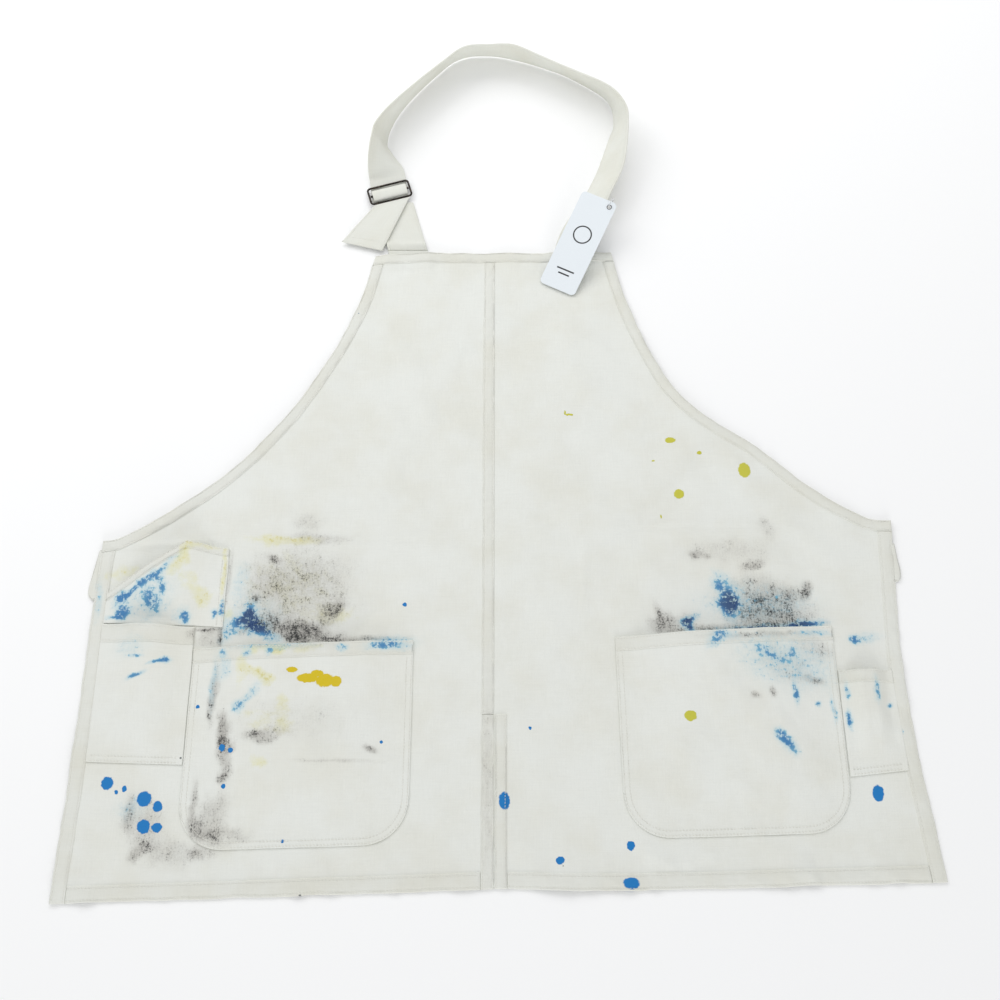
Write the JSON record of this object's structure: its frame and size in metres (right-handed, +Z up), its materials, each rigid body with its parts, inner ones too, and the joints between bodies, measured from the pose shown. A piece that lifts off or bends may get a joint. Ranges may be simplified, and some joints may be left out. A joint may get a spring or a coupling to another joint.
{
  "type": "artist smock apron",
  "caption": "Split-front canvas work apron with patch pockets and an adjustable neck strap, lying flat with its neck loop open.",
  "frame": {"origin": "bottom centre of the whole apron's bounding box, on the surface it lies on", "axes": "+Z up from the surface and out of the apron's front; +Y from the bottom hem to the neck strap, along its length; +X to the viewer's right"},
  "size_m": [0.8, 0.9504, 0.0413],
  "materials": {
    "canvas": "off-white heavy cotton canvas with paint and charcoal stains",
    "hemmed_canvas": "off-white cotton canvas, folded and stitched, slightly puckered",
    "strap_canvas": "off-white cotton canvas strap, folded",
    "antique_metal": "dark antique plated wire",
    "tag_card": "smooth white card",
    "tag_nylon": "clear white nylon filament"
  },
  "bodies": {
    "apron": {"left_front_panel": "canvas", "right_front_panel": "canvas", "left_main_pocket": "canvas", "right_main_pocket": "canvas", "left_tool_pocket": "canvas", "left_slant_pocket": "canvas", "right_side_pocket": "canvas", "bib_top_hem": "hemmed_canvas", "left_armhole_binding": "hemmed_canvas", "right_armhole_binding": "hemmed_canvas", "left_side_hem": "hemmed_canvas", "right_side_hem": "hemmed_canvas", "left_bottom_hem": "hemmed_canvas", "right_bottom_hem": "hemmed_canvas", "centre_seam": "hemmed_canvas", "left_slit_hem": "hemmed_canvas", "right_slit_hem": "hemmed_canvas", "left_main_pocket_hem": "hemmed_canvas", "right_main_pocket_hem": "hemmed_canvas", "left_tool_pocket_hem": "hemmed_canvas", "left_slant_pocket_hem": "hemmed_canvas", "right_side_pocket_hem": "hemmed_canvas", "left_waist_loop": "hemmed_canvas", "right_waist_loop": "hemmed_canvas"},
    "neck_loop": {"neck_strap": "strap_canvas", "buckle_tab": "strap_canvas"},
    "slider": {"slider_frame": "antique_metal", "slider_bar": "antique_metal", "strap_turn_over_bar": "strap_canvas", "strap_tail": "strap_canvas"},
    "tag_ring": {"tag_ring": "tag_nylon"},
    "tag": {"hang_tag": "tag_card"}
  },
  "joints": [
    {"name": "neck_fold", "type": "hinge", "parent": "apron", "child": "neck_loop", "pos_m": [0, 0.206, 0.0013], "axis": [1, 0, 0], "range_deg": [0, 90]},
    {"name": "slider_slide", "type": "slide", "parent": "neck_loop", "child": "slider", "axis": [-0.284, 0.9588, 0], "range_m": [0, 0.006]},
    {"name": "tag_lean", "type": "hinge", "parent": "neck_loop", "child": "tag_ring", "pos_m": [0.11745, 0.26545, 0.03211], "axis": [1, 0, 0], "range_deg": [-84, 0]},
    {"name": "tag_swing", "type": "hinge", "parent": "tag_ring", "child": "tag", "pos_m": [0.11745, 0.2438, 0.03046], "axis": [-0.112, -0.2277, 0.9673], "range_deg": [-20, 20]}
  ],
  "couplings": [
    {"joint": "tag_lean", "follows": "neck_fold", "ratio": -0.92}
  ]
}
